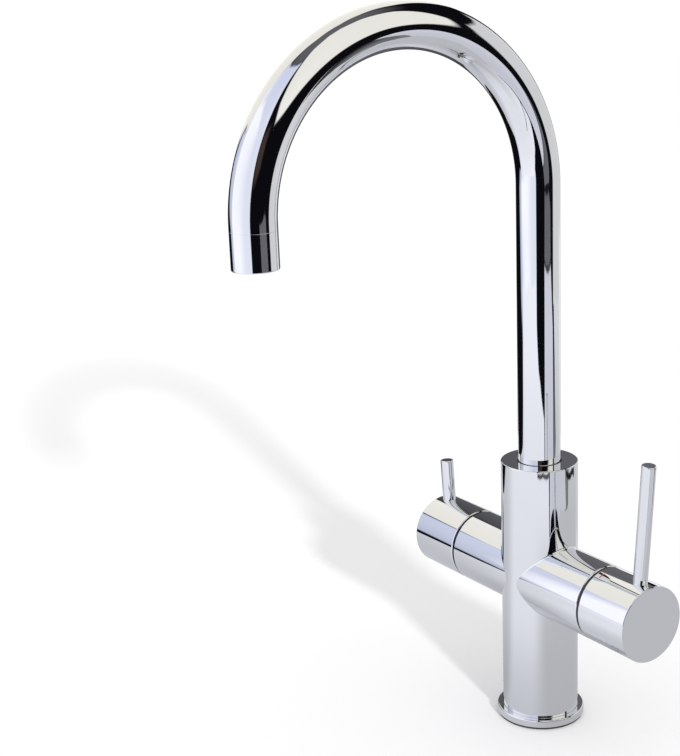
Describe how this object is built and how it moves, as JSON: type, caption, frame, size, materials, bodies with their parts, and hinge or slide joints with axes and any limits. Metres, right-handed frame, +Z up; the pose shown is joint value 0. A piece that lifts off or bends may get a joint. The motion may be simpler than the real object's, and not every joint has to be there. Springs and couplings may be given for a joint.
{
  "type": "boiling water tap",
  "caption": "Tall chrome kitchen tap with a swivelling swan neck spout on a round column and two side arms, one lever mixing hot and cold water, the other drawing boiling water.",
  "frame": {"origin": "on the worktop, under the axis of the column, at the underside of the base gasket", "axes": "+Z up along the column, -Y to the side that the spout points to, +X along the arm of the mixing handle"},
  "size_m": [0.1912, 0.2242, 0.4322],
  "materials": {
    "chrome_body": "polished",
    "chrome_spout": "polished",
    "chrome_handle": "polished",
    "brass": "machined",
    "steel": "drawn",
    "rubber": "matte",
    "dark_plastic": "satin",
    "white_plastic": "satin",
    "cartridge_plastic": "moulded",
    "ceramic": "lapped",
    "red_enamel": "enamel"
  },
  "bodies": {
    "base": {"body_casting": "chrome_body", "base_ring": "chrome_body", "base_gasket": "rubber", "spout_bush": "dark_plastic", "spout_slip_washer": "white_plastic", "spout_locking_screw": "steel", "boil_tube_seal": "rubber", "mixer_port_seals": "rubber", "mixer_cartridge_base": "cartridge_plastic", "mixer_fixed_disc": "ceramic", "mixer_cartridge_cap": "cartridge_plastic", "mixer_thrust_washer": "white_plastic", "mixer_retaining_nut": "brass", "mixer_glide_ring": "dark_plastic", "boil_seat_seal": "rubber", "boil_valve_body": "brass", "boil_fixed_disc": "ceramic", "boil_spring_seat": "brass", "boil_glide_ring": "dark_plastic", "boil_return_spring": "steel"},
    "spout": {"spout_tube": "chrome_spout", "spout_foot": "brass", "spout_orings": "rubber", "boil_inner_tube": "steel", "nozzle_sleeve": "chrome_spout", "nozzle_oring": "rubber", "flow_straightener": "white_plastic"},
    "mixer_control": {"mixer_handle": "chrome_handle", "mixer_lever": "chrome_handle", "mixer_grub_screw": "steel", "mixer_stem": "brass", "mixer_stem_oring": "rubber", "mixer_moving_disc": "ceramic", "hot_mark": "red_enamel"},
    "boil_control": {"boil_handle": "chrome_handle", "boil_lever": "chrome_handle", "boil_grub_screw": "steel", "boil_stem": "brass", "boil_stem_oring": "rubber", "boil_circlip": "steel", "boil_moving_disc": "ceramic"}
  },
  "joints": [
    {"name": "spout_swivel", "type": "hinge", "parent": "base", "child": "spout", "pos_m": [0, 0, 0.1635], "axis": [0, 0, 1], "range_deg": [-75, 75]},
    {"name": "mixer_turn", "type": "hinge", "parent": "base", "child": "mixer_control", "pos_m": [0.0763, 0, 0.0913], "axis": [1, 0, 0], "range_deg": [0, 95]},
    {"name": "boil_turn", "type": "hinge", "parent": "base", "child": "boil_control", "pos_m": [-0.0772, 0, 0.0913], "axis": [1, 0, 0], "range_deg": [0, 90], "stiffness_Nm_per_rad": 0.05, "springref_deg": -45.84, "deforming": ["boil_return_spring"]}
  ]
}
